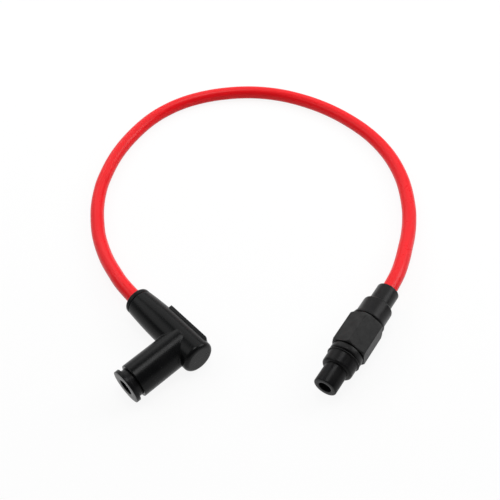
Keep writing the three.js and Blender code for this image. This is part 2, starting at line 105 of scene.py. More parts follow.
class Bench:
    """The modelling steps that the pieces share."""

    @staticmethod
    def only(piece: bpy.types.Object) -> None:
        """Selects one piece alone and makes it the active one.

        Args:
            piece: The piece.
        """
        bpy.ops.object.select_all(action="DESELECT")
        piece.select_set(True)
        bpy.context.view_layer.objects.active = piece

    @staticmethod
    def named(name: str) -> bpy.types.Object:
        """Names the object that was just added.

        Args:
            name: Its name, and its mesh's.

        Returns:
            The object.
        """
        piece = bpy.context.object
        piece.name = name
        piece.data.name = name
        return piece

    @staticmethod
    def arc(centre: Corner, size: float, start: float, steps: int = 6) -> list[Corner]:
        """Points of a quarter round in a profile.

        Args:
            centre: Its centre.
            size: Its own radius.
            start: The angle that it begins at, where 0 points straight out from the axis.
            steps: Its straight pieces.

        Returns:
            The points, both ends with them.
        """
        turns = (start + QUARTER_TURN * step / steps for step in range(steps + 1))
        return [(centre[0] + size * math.cos(a), centre[1] + size * math.sin(a)) for a in turns]

    @staticmethod
    def eased(radius: float, height: float, cuts: Profile) -> list[Corner]:
        """Corners that take the place of a sharp one, each so far in and so far along from it."""
        return [(radius - inward, height + along) for inward, along in cuts]

    @classmethod
    def turned(
        cls, name: str, profile: Profile, steps: int = 96, closed: bool = True
    ) -> bpy.types.Object:
        """Turns a solid, or an open sheet, about Z.

        Args:
            name: The new object's name.
            profile: Radius and height of each corner. It closes on itself, or on the axis where
                both its ends are there.
            steps: Faces round the axis.
            closed: Whether the profile closes.

        Returns:
            The turned object, at the origin.
        """
        bpy.ops.object.select_all(action="DESELECT")
        bpy.ops.mesh.primitive_plane_add(size=MM)
        piece = cls.named(name)
        on_axis = profile[0][0] == 0 and profile[-1][0] == 0
        corners = [*profile, profile[0]] if closed and not on_axis else list(profile)
        bpy.ops.object.mode_set(mode="EDIT")
        bpy.ops.mesh.select_all(action="SELECT")
        bpy.ops.mesh.merge(type="CENTER")
        bpy.ops.transform.translate(value=(corners[0][0], 0, corners[0][1]))
        for (radius, height), (next_radius, next_height) in zip(corners, corners[1:]):
            step = (next_radius - radius, 0, next_height - height)
            bpy.ops.mesh.extrude_vertices_move(TRANSFORM_OT_translate={"value": step})
        bpy.ops.mesh.select_all(action="SELECT")
        bpy.ops.mesh.remove_doubles(threshold=MERGE_WITHIN)
        bpy.ops.mesh.spin(steps=steps, angle=math.tau, center=(0, 0, 0), axis=(0, 0, 1))
        bpy.ops.mesh.select_all(action="SELECT")
        bpy.ops.mesh.remove_doubles(threshold=MERGE_WITHIN)
        bpy.ops.mesh.normals_make_consistent(inside=False)
        bpy.ops.object.mode_set(mode="OBJECT")
        return piece

    @classmethod
    def rod(cls, name: str, radius: float, low: float, high: float) -> bpy.types.Object:
        """A plain round bar about Z between two heights."""
        return cls.turned(name, [(0, low), (radius, low), (radius, high), (0, high)])

    @classmethod
    def merge(cls, piece: bpy.types.Object) -> None:
        """Merges points that lie on each other, so that no face is left without an area.

        Args:
            piece: The piece, which is left selected alone.
        """
        cls.only(piece)
        bpy.ops.object.mode_set(mode="EDIT")
        bpy.ops.mesh.select_all(action="SELECT")
        bpy.ops.mesh.remove_doubles(threshold=MERGE_WITHIN)
        bpy.ops.object.mode_set(mode="OBJECT")

    @classmethod
    def lay(cls, piece: bpy.types.Object, place: Matrix) -> bpy.types.Object:
        """Moves a piece to its place and keeps that place in its mesh.

        Args:
            piece: The piece, which is left selected alone.
            place: Where it goes from where it was made.

        Returns:
            The same piece, its object at the origin.
        """
        cls.only(piece)
        piece.matrix_world = place
        bpy.ops.object.transform_apply(location=True, rotation=True, scale=True)
        return piece

    @classmethod
    def change(cls, piece: bpy.types.Object, kind: str, **settings: object) -> None:
        """Applies one modifier.

        Args:
            piece: The piece.
            kind: The modifier's type.
            settings: What is set on it.
        """
        modifier = piece.modifiers.new(kind.lower(), kind)
        for key, setting in settings.items():
            setattr(modifier, key, setting)
        cls.only(piece)
        bpy.ops.object.modifier_apply(modifier=modifier.name)

    @classmethod
    def combine(cls, piece: bpy.types.Object, tool: bpy.types.Object, how: Combine) -> None:
        """Joins, cuts or trims a piece with another solid, which is then gone."""
        cls.change(piece, "BOOLEAN", operation=how.value, solver="EXACT", object=tool)
        bpy.data.objects.remove(tool)

    @classmethod
    def flow(cls, piece: bpy.types.Object, voxel: float, passes: int = 4) -> None:
        """Flows a piece's joins together, as in a mould, and rounds its edges.

        Args:
            piece: A closed solid.
            voxel: Size of the new faces.
            passes: How often the surface is evened out. More gives larger fillets.
        """
        cls.change(piece, "REMESH", mode="VOXEL", voxel_size=voxel)
        cls.change(piece, "SMOOTH", factor=0.5, iterations=passes)

    @classmethod
    def round_edges(cls, piece: bpy.types.Object, width: float, degrees: float = 30) -> None:
        """Rounds every edge that turns by more than an angle.

        Args:
            piece: The piece.
            width: How far the rounding reaches from the edge.
            degrees: That angle.
        """
        angle = math.radians(degrees)
        cls.change(
            piece, "BEVEL", width=width, segments=3, limit_method="ANGLE", angle_limit=angle
        )


@dataclass(frozen=True)
class Bore:
    """A round hole about the axis of the part that it is cut in, between two heights."""

    radius: float
    low: float
    high: float

    def cut(self, piece: bpy.types.Object, along: Matrix = ALONG_Z) -> None:
        """Cuts the hole along an axis."""
        rod = Bench.rod("bore", self.radius, self.low, self.high)
        Bench.combine(piece, Bench.lay(rod, along), Combine.CUT)


class Value:
    """A number that varies over a surface, written in plain arithmetic."""

    def __init__(self, graph: "Graph", socket: bpy.types.NodeSocket) -> None:
        """Wraps a socket of a graph."""
        self.graph = graph
        self.socket = socket

    def _maths(self, operation: str, *inputs: "Value | float", clamp: bool = False) -> "Value":
        """Adds the Math node for one step of an expression.

        Args:
            operation: What the node does.
            inputs: What it works on.
            clamp: Whether the result is held between 0 and 1.

        Returns:
            The result.
        """
        settings = {"operation": operation, "use_clamp": clamp}
        node = self.graph.node("ShaderNodeMath", settings, dict(enumerate(inputs)))
        return Value(self.graph, node.outputs[0])

    def __add__(self, other: "Value | float") -> "Value":
        """This plus another."""
        return self._maths("ADD", self, other)

    __radd__ = __add__

    def __sub__(self, other: "Value | float") -> "Value":
        """This less another."""
        return self._maths("SUBTRACT", self, other)

    def __rsub__(self, other: "Value | float") -> "Value":
        """Another less this."""
        return self._maths("SUBTRACT", other, self)

    def __mul__(self, other: "Value | float") -> "Value":
        """This times another."""
        return self._maths("MULTIPLY", self, other)

    __rmul__ = __mul__

    def __pow__(self, other: float) -> "Value":
        """This to a power."""
        return self._maths("POWER", self, other)

    def __abs__(self) -> "Value":
        """This without its sign."""
        return self._maths("ABSOLUTE", self)

    def held(self) -> "Value":
        """This, held between 0 and 1."""
        return self._maths("ADD", self, 0.0, clamp=True)

    def sharpened(self, gain: float, floor: float) -> "Value":
        """This with its contrast raised: times a gain, less a floor, and held."""
        return (self * gain - floor).held()

    def swing(self, reach: float) -> "Value":
        """This, where it runs from 0 to 1, as a swing of that reach about nothing."""
        return (self - 0.5) * reach


class Graph:
    """The node tree of one material."""

    def __init__(self, name: str) -> None:
        """Starts an empty material.

        Args:
            name: Its name.
        """
        self.material = bpy.data.materials.new(name)
        self.material.use_nodes = True
        self.tree = self.material.node_tree
        self.tree.nodes.clear()
        self.place = self.node("ShaderNodeTexCoord").outputs["Object"]

    def node(
        self,
        kind: str,
        settings: Mapping[str, object] | None = None,
        inputs: Mapping[int | str, object] | None = None,
    ) -> bpy.types.Node:
        """Adds one node.

        Args:
            kind: The node's type.
            settings: What is set on the node itself, before its inputs.
            inputs: Values, sockets or plain numbers for its inputs, by name or number.

        Returns:
            The new node.
        """
        node = self.tree.nodes.new(kind)
        for key, setting in (settings or {}).items():
            setattr(node, key, setting)
        for key, given in (inputs or {}).items():
            source = given.socket if isinstance(given, Value) else given
            if isinstance(source, bpy.types.NodeSocket):
                self.tree.links.new(source, node.inputs[key])
            else:
                node.inputs[key].default_value = source
        return node

    def noise(self, per_metre: float, detail: float = 3, stretch: Point = (1, 1, 1)) -> Value:
        """Soft noise over the surface.

        Args:
            per_metre: How many patches it has to the metre.
            detail: How many finer layers it has.
            stretch: How much closer the patches lie along each axis.

        Returns:
            The noise, about between 0 and 1.
        """
        scaled = self.node("ShaderNodeMapping", inputs={"Vector": self.place, "Scale": stretch})
        inputs = {"Vector": scaled.outputs[0], "Scale": per_metre, "Detail": detail}
        return Value(self, self.node("ShaderNodeTexNoise", inputs=inputs).outputs[0])

    def height(self) -> Value:
        """How high each point of the surface lies."""
        return Value(self, self.node("ShaderNodeSeparateXYZ", inputs={0: self.place}).outputs[2])

    def mix(self, share: Value, first: Colour, second: Colour) -> bpy.types.NodeSocket:
        """A colour between two others."""
        inputs = {0: share, 6: (*first, 1), 7: (*second, 1)}
        return self.node("ShaderNodeMix", {"data_type": "RGBA"}, inputs).outputs[2]

    def bump(self, rise: Value, depth: float, strength: float = 1.0) -> bpy.types.NodeSocket:
        """A surface normal from a rise, how deep a rise of 1 is, and how strongly it shows."""
        inputs = {"Height": rise, "Distance": depth, "Strength": strength}
        return self.node("ShaderNodeBump", inputs=inputs).outputs[0]

    def surface(self, **inputs: object) -> bpy.types.Material:
        """Ends the tree in a Principled BSDF.

        Args:
            inputs: Its inputs, with an underscore for each blank.

        Returns:
            The finished material.
        """
        plain = {key.replace("_", " "): given for key, given in inputs.items()}
        shader = self.node("ShaderNodeBsdfPrincipled", inputs=plain)
        self.node("ShaderNodeOutputMaterial", inputs={0: shader.outputs[0]})
        return self.material


@dataclass(frozen=True)
class Silicone:
    """The lead's smooth silicone jacket, faintly clouded, with a fine bloom on its skin."""

    name: str = "red_silicone"
    slot: str = "red_silicone"
    colour: Colour = (0.93, 0.006, 0.012)
    shade: Colour = (0.86, 0.004, 0.009)
    roughness: float = 0.3
    gloss: float = 0.22
    clouds_per_metre: float = 60
    cloud_roughness: float = 0.08
    bloom_per_metre: float = 900
    bloom_roughness: float = 0.16
    bloom_depth: float = 0.02 * MM
    bloom_strength: float = 0.35

    def material(self) -> bpy.types.Material:
        """Builds the material.

        Returns:
            The material.
        """
        graph = Graph(self.name)
        cloud = graph.noise(self.clouds_per_metre)
        bloom = graph.noise(self.bloom_per_metre, detail=4)
        roughness = self.roughness + bloom.swing(self.bloom_roughness)
        return graph.surface(
            Base_Color=graph.mix(cloud, self.colour, self.shade),
            Roughness=roughness + cloud.swing(self.cloud_roughness),
            Specular_IOR_Level=self.gloss,
            Normal=graph.bump(bloom, self.bloom_depth, self.bloom_strength),
        )


@dataclass(frozen=True)
class Moulding:
    """A moulded plastic or rubber, with its flow marks, its grain and its parting line."""

    name: str
    slot: str
    colour: Colour
    patches: Colour
    roughness: float
    uneven: float
    patches_per_metre: float
    grain_per_metre: float
    grain_depth: float
    parting_height: float
    gloss: float
    patch_gain: float = 2.4
    patch_floor: float = 0.7
    grain_roughness: float = 0.1
    parting_width: float = 0.14 * MM
    parting_rise: float = 0.05 * MM

    def material(self) -> bpy.types.Material:
        """Builds the material.

        Returns:
            The material.
        """
        graph = Graph(self.name)
        patches = graph.noise(self.patches_per_metre, detail=4)
        grain = graph.noise(self.grain_per_metre, detail=2)
        share = patches.sharpened(self.patch_gain, self.patch_floor)
        off_line = abs(graph.height() - self.parting_height) * (1 / self.parting_width)
        rise = grain * self.grain_depth + (1 - off_line).held() * self.parting_rise
        roughness = self.roughness + patches.swing(self.uneven)
        return graph.surface(
            Base_Color=graph.mix(share, self.colour, self.patches),
            Roughness=roughness + grain.swing(self.grain_roughness),
            Specular_IOR_Level=self.gloss,
            Normal=graph.bump(rise, 1.0),
        )


@dataclass(frozen=True)
class Metal:
    """A turned or drawn metal with fine tool marks and a little tarnish."""

    name: str
    slot: str
    colour: Colour
    tarnish: Colour
    roughness: float
    stains_per_metre: float = 350
    stain_gain: float = 2
    stain_floor: float = 0.6
    stain_roughness: float = 0.25
    marks_per_metre: float = 9000
    marks_stretch: Point = (0.2, 1, 1)
    mark_roughness: float = 0.15
    mark_depth: float = 0.004 * MM

    def material(self) -> bpy.types.Material:
        """Builds the material.

        Returns:
            The material.
        """
        graph = Graph(self.name)
        stain = graph.noise(self.stains_per_metre, detail=4)
        marks = graph.noise(self.marks_per_metre, detail=1, stretch=self.marks_stretch)
        share = stain.sharpened(self.stain_gain, self.stain_floor)
        roughness = self.roughness + stain.swing(self.stain_roughness)
        return graph.surface(
            Base_Color=graph.mix(share, self.colour, self.tarnish),
            Metallic=1.0,
            Roughness=roughness + marks.swing(self.mark_roughness),
            Normal=graph.bump(marks, self.mark_depth),
        )


@dataclass(frozen=True)
class Ceramic:
    """The resistor's unglazed body."""

    name: str = "ceramic"
    slot: str = "ceramic"
    colour: Colour = (0.68, 0.61, 0.48)
    specks: Colour = (0.5, 0.43, 0.33)
    roughness: float = 0.5
    specks_per_metre: float = 2600
    speck_sharpness: float = 3
    speck_gain: float = 1.5
    speck_roughness: float = 0.3
    speck_depth: float = 0.02 * MM

    def material(self) -> bpy.types.Material:
        """Builds the material.

        Returns:
            The material.
        """
        graph = Graph(self.name)
        specks = graph.noise(self.specks_per_metre)
        share = specks**self.speck_sharpness * self.speck_gain
        return graph.surface(
            Base_Color=graph.mix(share, self.colour, self.specks),
            Roughness=self.roughness + specks * self.speck_roughness,
            Normal=graph.bump(specks, self.speck_depth),
        )


Finish = Silicone | Moulding | Metal | Ceramic

PHENOLIC = Moulding(
    name="black_phenolic",
    slot="black_phenolic",
    colour=(0.002, 0.0023, 0.0026),
    patches=(0.004, 0.0042, 0.0045),
    roughness=0.27,
    uneven=0.12,
    patches_per_metre=150,
    grain_per_metre=2600,
    grain_depth=0.006 * MM,
    parting_height=CAP_HEIGHT,
    gloss=0.145,
)
CAP_RUBBER = Moulding(
    name="black_rubber_cap",
    slot="black_rubber",
    colour=(0.004, 0.004, 0.0045),
    patches=(0.007, 0.007, 0.0075),
    roughness=0.3,
    uneven=0.14,
    patches_per_metre=220,
    grain_per_metre=3200,
    grain_depth=0.012 * MM,
    parting_height=CAP_HEIGHT,
    gloss=0.13,
)
JOINER_RUBBER = replace(
    CAP_RUBBER,
    name="black_rubber_joiner",
    colour=(0.0045, 0.0045, 0.005),
    patches=(0.009, 0.0088, 0.009),
    roughness=0.31,
    parting_height=JOINER_HEIGHT,
)
NYLON = Moulding(
    name="black_nylon",
    slot="black_nylon",
    colour=(0.002, 0.002, 0.0022),
    patches=(0.023, 0.0232, 0.0231),
    roughness=0.46,
    uneven=0.22,
    patches_per_metre=260,
    grain_per_metre=2400,
    grain_depth=0.03 * MM,
    parting_height=JOINER_HEIGHT,
    gloss=0.2,
)
TURNED_NYLON = replace(
    NYLON,
    name="black_nylon_turned",
    patches=(0.009, 0.009, 0.0092),
    roughness=0.33,
    gloss=0.17,
)
BRASS = Metal("brass", "brass", (0.62, 0.42, 0.16), (0.36, 0.22, 0.09), 0.3)
SPRING_STEEL = Metal("spring_steel", "spring_steel", (0.46, 0.46, 0.47), (0.3, 0.29, 0.28), 0.3)
TINNED_COPPER = Metal("tinned_copper", "tinned_copper", (0.6, 0.55, 0.5), (0.5, 0.3, 0.2), 0.4)


@dataclass
class Workshop:
    """Keeps the materials, and gives each piece its finish and its place in the frame."""

    made: dict[str, bpy.types.Material] = field(default_factory=dict)

    def paint(self, finish: Finish) -> bpy.types.Material:
        """The material of a finish, built once.

        Args:
            finish: The finish.

        Returns:
            Its material.
        """
        if finish.name not in self.made:
            self.made[finish.name] = finish.material()
        return self.made[finish.name]

    def finish(
        self, piece: bpy.types.Object, finish: Finish, nodes: Sequence[str], crease: float = 35
    ) -> None:
        """Shades, dresses and hangs a new piece on the frame.

        Args:
            piece: The piece, in place.
            finish: What it is made of.
            nodes: The CAD nodes that it stands for.
            crease: Degrees from which an edge looks sharp.
        """
        Bench.merge(piece)
        bpy.ops.object.shade_smooth_by_angle(angle=math.radians(crease))
        piece.data.materials.clear()
        piece.data.materials.append(self.paint(finish))
        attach(piece, "root")
        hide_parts(*nodes)
        LOG.info("%s: %d faces, for %s", piece.name, len(piece.data.polygons), ", ".join(nodes))

    def dress_node(self, node: bpy.types.Object, finish: Finish) -> None:
        """Gives a CAD node that stays a better material.

        Args:
            node: The node's object.
            finish: What it is made of.
        """
        node.data.materials.clear()
        node.data.materials.append(self.paint(finish))
        LOG.info("%s keeps its CAD shape, in %s", node.name, finish.name)


@dataclass
class Lead:
    """The high-tension lead, along its whole route from inside the cap to inside the joiner.

    The free route's points are in millimetres.
    """

    diameter: float = 8 * MM
    length: float = 0.518
    straight: float = 4 * MM
    cap_end: float = -9.3 * MM
    cap_mouth: float = CAP_MOUTH
    joiner_mouth: float = JOINER_MOUTH
    joiner_end: float = JOINER_STOP
    samples: int = 8
    roundness: int = 10
    free_route: tuple[Point, ...] = (
        (-73.9, -6.7, 8.4), (-83.0, -2.3, 7.3), (-92.6, 2.9, 5.9), (-102.0, 9.1, 4.7),
        (-110.9, 16.1, 4.1), (-118.8, 24.1, 4.1), (-126.0, 32.6, 4.1), (-132.3, 42.0, 4.1),
        (-137.6, 52.1, 4.1), (-144.6, 72.9, 4.1), (-147.1, 94.0, 4.1), (-145.5, 113.9, 4.1),
        (-138.9, 131.5, 4.1), (-128.4, 145.7, 4.1), (-115.6, 156.8, 4.1), (-101.2, 165.3, 4.1),
        (-85.2, 170.9, 4.1), (-68.1, 173.4, 4.1), (-50.2, 173.2, 4.1), (-31.7, 170.0, 4.1),
        (-12.9, 163.6, 4.1), (5.0, 153.1, 4.1), (20.9, 138.3, 4.1), (33.3, 120.8, 4.1),
        (38.2, 111.4, 4.1), (42.3, 101.4, 4.9), (45.6, 91.1, 6.4), (48.6, 80.9, 7.9),
        (50.8, 71.0, 9.2),
    )

    def stations(self) -> list[Vector]:
        """The points that the route passes through.

        Returns:
            The points, from the cap to the joiner.
        """
        middle = (self.cap_end + self.cap_mouth) / 2
        in_cap = (self.cap_end, middle, self.cap_mouth + self.straight, self.cap_mouth)
        middle = (self.joiner_end + self.joiner_mouth) / 2
        in_joiner = (self.joiner_mouth, self.joiner_mouth - self.straight, middle, self.joiner_end)
        return [
            *(CAP_PLACE @ Vector((x, 0, 0)) for x in in_cap),
            *(Vector(place) * MM for place in self.free_route),
            *(JOINER_PLACE @ Vector((0, y, 0)) for y in in_joiner),
        ]

    @staticmethod
    def between(four: Sequence[Vector], share: float) -> Vector:
        """A point on a centripetal spline.

        Args:
            four: Four stations in a row.
            share: How far the point is from the second to the third, from 0 to 1.

        Returns:
            The point.
        """
        spans = [math.sqrt((b - a).length) for a, b in zip(four, four[1:])]
        a, b, c, d = four
        leave = (b - a) / spans[0] - (c - a) / (spans[0] + spans[1]) + (c - b) / spans[1]
        arrive = (c - b) / spans[1] - (d - b) / (spans[1] + spans[2]) + (d - c) / spans[2]
        leave, arrive = leave * spans[1], arrive * spans[1]
        cubic = 2 * (b - c) + leave + arrive
        square = 3 * (c - b) - 2 * leave - arrive
        return cubic * share**3 + square * share**2 + leave * share + b

    def route(self) -> list[Vector]:
        """The centreline.

        Returns:
            Its points, closely spaced.
        """
        stations = self.stations()
        first, last = 2 * stations[0] - stations[1], 2 * stations[-1] - stations[-2]
        held = [first, *stations, last]
        points = [
            self.between(held[i : i + 4], step / self.samples)
            for i in range(len(stations) - 1)
            for step in range(self.samples)
        ]
        return [*points, stations[-1]]

    def build(self, workshop: Workshop, core: bpy.types.Object) -> None:
        """Args:
            workshop: Where it is finished.
            core: The CAD node of the core, which runs inside it. It is not used.
        """
        points = self.route()
        line = bpy.data.curves.new("lead", "CURVE")
        line.dimensions = "3D"
        line.bevel_depth = self.diameter / 2
        line.bevel_resolution = self.roundness
        line.use_fill_caps = True
        spline = line.splines.new("POLY")
        spline.points.add(len(points) - 1)
        for knot, place in zip(spline.points, points):
            knot.co = (*place, 1)
        tube = bpy.data.objects.new("lead", line)
        bpy.context.scene.collection.objects.link(tube)
        Bench.only(tube)
        bpy.ops.object.convert(target="MESH")
        tube = bpy.context.object
        workshop.finish(tube, Silicone(), ["lead_jacket"])


@dataclass
class PlugCap:
    """The right-angle plug cap: its moulded body and the two rubber seals at its mouths.

    Both arms are measured from the point where their axes meet. Each cut of the lip's edge is so
    far in from the lip's side and so far along from the mouth.
    """

    arm_reach: float = 35 * MM
    arm_tail: float = 13.6 * MM
    entry_radius: float = 7.6 * MM
    arm_radius: float = 8.7 * MM
    flare: float = 22 * MM
    flare_bend: float = 0.6
    flare_steps: int = 10
    end_round: float = 2.2 * MM
    plug_arm_radius: float = 9.2 * MM
    plug_arm_reach: float = 31 * MM
    plug_arm_tip: float = 0.6 * MM
    tip_round: float = 0.35 * MM
    pad_start: float = -19.6 * MM
    pad_length: float = 29.6 * MM
    pad_height: float = 8 * MM
    pad_proud: float = 0.8 * MM
    pad_round: float = 2.4 * MM
    pad_edge: float = 0.25 * MM
    voxel: float = 0.3 * MM
    cable_bores: tuple[Bore, ...] = (
        Bore(5.7 * MM, -36 * MM, -27 * MM),
        Bore(LEAD_HOLE, -28 * MM, -9 * MM),
    )
    plug_bores: tuple[Bore, ...] = (
        Bore(3.6 * MM, 0.0, 16 * MM),
        Bore(5.3 * MM, 15 * MM, 20 * MM),
        Bore(6.8 * MM, 19 * MM, 32 * MM),
    )
    gap: float = 0.3 * MM
    lip_radius: float = 7.5 * MM
    lip_cuts: Profile = ((0.8 * MM, 0), (0.3 * MM, 0.25 * MM), (0, 0.8 * MM))
    spigot_radius: float = 5.4 * MM
    spigot_end: float = -27.3 * MM
    cable_seal_edge: float = 0.18 * MM
    plug_seal_length: float = 4.6 * MM
    plug_seal_back: float = 0.05 * MM
    plug_seal_hole: float = 4.3 * MM
    plug_seal_edge: float = 0.12 * MM
    flange_length: float = 2.1 * MM
    neck_radius: float = 7.65 * MM
    plug_spigot_radius: float = 6.5 * MM
    plug_spigot_bore: float = 5.4 * MM
    plug_spigot_end: float = 25.3 * MM

    def cable_arm(self) -> bpy.types.Object:
        """The cable arm: slim at the entry, full at the corner, round at its closed end.

        Returns:
            The arm, its axis along X.
        """
        low, slim, full = -self.arm_reach, self.entry_radius, self.arm_radius
        bend = low + self.flare * self.flare_bend
        swell = [
            (
                slim * (1 - t) ** 2 + full * (1 - (1 - t) ** 2),
                low * (1 - t) ** 2 + 2 * bend * t * (1 - t) + (low + self.flare) * t**2,
            )
            for t in (step / self.flare_steps for step in range(self.flare_steps + 1))
        ]
        centre = (full - self.end_round, self.arm_tail - self.end_round)
        round_end = Bench.arc(centre, self.end_round, 0)
        profile = [(0, low), *swell, *round_end, (0, self.arm_tail)]
        return Bench.lay(Bench.turned("plug_cap_body", profile), ALONG_CABLE_ARM)

    def plug_arm(self) -> bpy.types.Object:
        """The plug arm, whose rounded tip stands a little proud of the cable arm's crest.

        Returns:
            The arm, its axis along -Y.
        """
        radius, reach, tip = self.plug_arm_radius, self.plug_arm_reach, -self.plug_arm_tip
        centre = (radius - self.tip_round, tip + self.tip_round)
        round_tip = reversed(Bench.arc(centre, self.tip_round, -QUARTER_TURN))
        profile = [(0, reach), (radius, reach), *round_tip, (0, tip)]
        return Bench.lay(Bench.turned("plug_arm", profile), ALONG_PLUG_ARM)

    def pad(self) -> bpy.types.Object:
        """The bare raised pad on the back, with one corner rounded off in plan.

        Returns:
            The pad, as a block that reaches in to both axes.
        """
        bpy.ops.object.select_all(action="DESELECT")
        deep = self.arm_radius + self.pad_proud
        end = self.pad_start + self.pad_length
        centre = ((self.pad_start + end) / 2, deep / 2, 0)
        bpy.ops.mesh.primitive_cube_add(size=1, location=centre)
        pad = Bench.named("pad")
        pad.scale = (self.pad_length, deep, self.pad_height)
        Bench.lay(pad, pad.matrix_basis.copy())
        bpy.ops.object.mode_set(mode="EDIT")
        bpy.ops.mesh.select_all(action="DESELECT")
        bpy.ops.object.mode_set(mode="OBJECT")
        for edge in pad.data.edges:
            ends = [pad.data.vertices[i].co for i in edge.vertices]
            off_corner = max(max(abs(p.x - end), abs(p.y - deep)) for p in ends)
            edge.select = off_corner < PICK_WITHIN
        bpy.ops.object.mode_set(mode="EDIT")
        bpy.ops.mesh.select_mode(type="EDGE")
        bpy.ops.mesh.bevel(offset=self.pad_round, segments=8, affect="EDGES")
        bpy.ops.mesh.select_mode(type="VERT")
        bpy.ops.object.mode_set(mode="OBJECT")
        Bench.round_edges(pad, self.pad_edge)
        return pad

    def body(self, workshop: Workshop) -> None:
        """The moulded body: both arms flowed together, the pad, and the bores.

        Args:
            workshop: Where it is finished.
        """
        body = self.cable_arm()
        Bench.combine(body, self.plug_arm(), Combine.JOIN)
        Bench.flow(body, self.voxel)
        Bench.combine(body, self.pad(), Combine.JOIN)
        for bore in self.cable_bores:
            bore.cut(body, ALONG_CABLE_ARM)
        for bore in self.plug_bores:
            bore.cut(body, ALONG_PLUG_ARM)
        Bench.lay(body, CAP_PLACE)
        workshop.finish(body, PHENOLIC, ["cap_body"], crease=40)

    def cable_seal(self, workshop: Workshop) -> None:
        """The seal round the lead: a round-edged lip outside the arm and a spigot in it.

        Args:
            workshop: Where it is finished.
        """
        lip_back = -self.arm_reach - self.gap
        profile = [
            (LEAD_HOLE, self.spigot_end), (LEAD_HOLE, CAP_MOUTH),
            *Bench.eased(self.lip_radius, CAP_MOUTH, self.lip_cuts),
            (self.lip_radius, lip_back), (self.spigot_radius, lip_back),
            (self.spigot_radius, self.spigot_end),
        ]
        seal = Bench.turned("cap_cable_seal", profile)
        Bench.round_edges(seal, self.cable_seal_edge, degrees=25)
        Bench.lay(seal, CAP_PLACE @ ALONG_CABLE_ARM)
        workshop.finish(seal, CAP_RUBBER, ["cable_seal"])

    def plug_seal(self, workshop: Workshop) -> None:
        """The seal at the plug's mouth: a flange, a thinner neck and a spigot in the arm.

        Args:
            workshop: Where it is finished.
        """
        back = self.plug_arm_reach + self.plug_seal_back
        face = self.plug_arm_reach + self.gap + self.plug_seal_length
        flange = face - self.flange_length
        profile = [
            (self.plug_spigot_bore, self.plug_spigot_end),
            (self.plug_spigot_radius, self.plug_spigot_end), (self.plug_spigot_radius, back),
            (self.neck_radius, back), (self.neck_radius, flange),
            (self.plug_arm_radius, flange), (self.plug_arm_radius, face),
            (self.plug_seal_hole, face), (self.plug_seal_hole, flange),
            (self.plug_spigot_bore, back),
        ]
        seal = Bench.turned("cap_plug_seal", profile)
        Bench.round_edges(seal, self.plug_seal_edge)
        Bench.lay(seal, CAP_PLACE @ ALONG_PLUG_ARM)
        workshop.finish(seal, CAP_RUBBER, ["plug_seal"])

    def build(self, workshop: Workshop) -> None:
        """Builds the body and both seals.

        Args:
            workshop: Where they are finished.
        """
        self.body(workshop)
        self.cable_seal(workshop)
        self.plug_seal(workshop)


@dataclass(frozen=True)
class Boot:
    """A rubber boot of the joiner, from its lip to the flange round its open end.

    Attributes:
        name: The piece's name.
        node: The CAD node that it stands for.
        lip_at: Where its lip lies along the joiner's axis.
        opening: Which way it opens from there.
        hole: Radius of the hole that grips the lead.
        cap_length: Length of the wide cap.
        cone_length: Length over which it widens to the flange.
        flange_length: Length of the flange.
        flange_ease: How much the flange's outer edge is cut back.
        lip_cuts: How far in from the sleeve, and how far along, the corners of the lip's edge lie.
        floor: Thickness of the cap where it meets the sleeve.
        edge: How far the rounding of its edges reaches.
    """

    name: str
    node: str
    lip_at: float
    opening: Opening
    hole: float
    cap_length: float
    cone_length: float
    flange_length: float
    flange_ease: float
    sleeve_radius: float = 6 * MM
    sleeve_length: float = 10.7 * MM
    lip_cuts: Profile = ((0.4 * MM, 0), (0.12 * MM, 0.12 * MM), (0, 0.4 * MM))
    cap_radius: float = 8 * MM
    shoulder_round: float = 1.5 * MM
    flange_radius: float = 8.7 * MM
    hollow_radius: float = 6.5 * MM
    floor: float = 2 * MM
    edge: float = 0.2 * MM

    def profile(self) -> list[Corner]:
        """The boot's profile.

        Returns:
            Radius of each corner, and how far it lies from the lip.
        """
        size = self.shoulder_round
        shoulder_centre = (self.cap_radius - size, self.sleeve_length + size)
        cone = self.sleeve_length + self.cap_length
        end = cone + self.cone_length + self.flange_length
        inside = self.sleeve_length + self.floor
        flange_cuts = ((0, -self.flange_ease), (self.flange_ease, 0))
        return [
            (self.hole, 0), *Bench.eased(self.sleeve_radius, 0, self.lip_cuts),
            (self.sleeve_radius, self.sleeve_length),
            *Bench.arc(shoulder_centre, size, -QUARTER_TURN),
            (self.cap_radius, cone), (self.flange_radius, cone + self.cone_length),
            *Bench.eased(self.flange_radius, end, flange_cuts),
            (self.hollow_radius, end), (self.hollow_radius, inside), (self.hole, inside),
        ]

    def build(self, workshop: Workshop) -> None:
        """Turns the boot and puts it on the joiner.

        Args:
            workshop: Where it is finished.
        """
        way = self.opening.value
        boot = Bench.turned(self.name, [(r, self.lip_at + way * h) for r, h in self.profile()])
        Bench.round_edges(boot, self.edge, degrees=40)
        Bench.lay(boot, JOINER_PLACE @ ALONG_JOINER)
        workshop.finish(boot, JOINER_RUBBER, [self.node])


